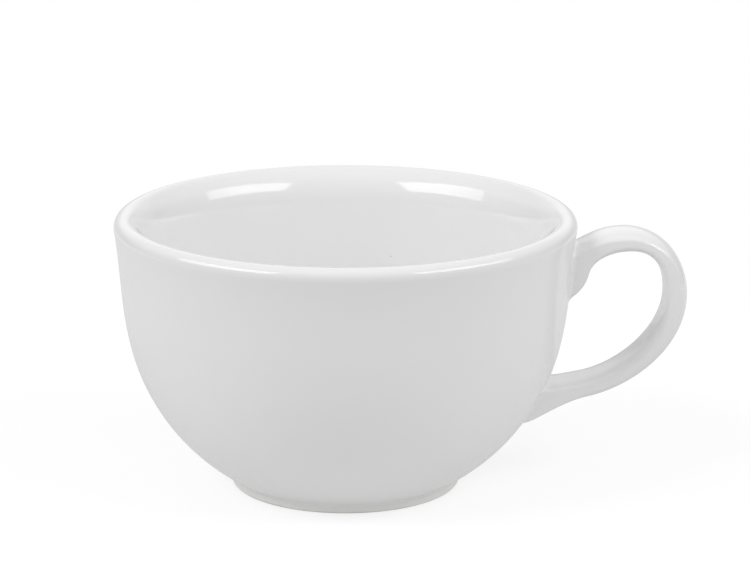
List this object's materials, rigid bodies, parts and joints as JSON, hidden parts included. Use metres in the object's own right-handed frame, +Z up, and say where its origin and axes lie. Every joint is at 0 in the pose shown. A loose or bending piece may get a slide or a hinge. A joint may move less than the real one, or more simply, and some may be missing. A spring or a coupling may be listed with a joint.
{
  "type": "cappuccino cup",
  "caption": "Bowl-shaped cappuccino cup of glazed white porcelain with a flared rounded lip, a low foot ring and a strap handle luted to the wall.",
  "frame": {"origin": "centre of the foot ring on the table, on the bowl's axis", "axes": "+Z up along the bowl's axis, +X from the axis towards the handle, +Y across the handle"},
  "size_m": [0.1244, 0.1, 0.06],
  "materials": {
    "glazed_porcelain": "glossy clear glaze over white porcelain",
    "foot_porcelain": "white porcelain, glazed side with a bare polished standing edge",
    "slip": "fired casting slip under the same glossy glaze"
  },
  "bodies": {
    "root": {"bowl": "glazed_porcelain", "foot_ring": "foot_porcelain", "handle": "glazed_porcelain", "upper_slip_joint": "slip", "lower_slip_joint": "slip"}
  },
  "joints": []
}
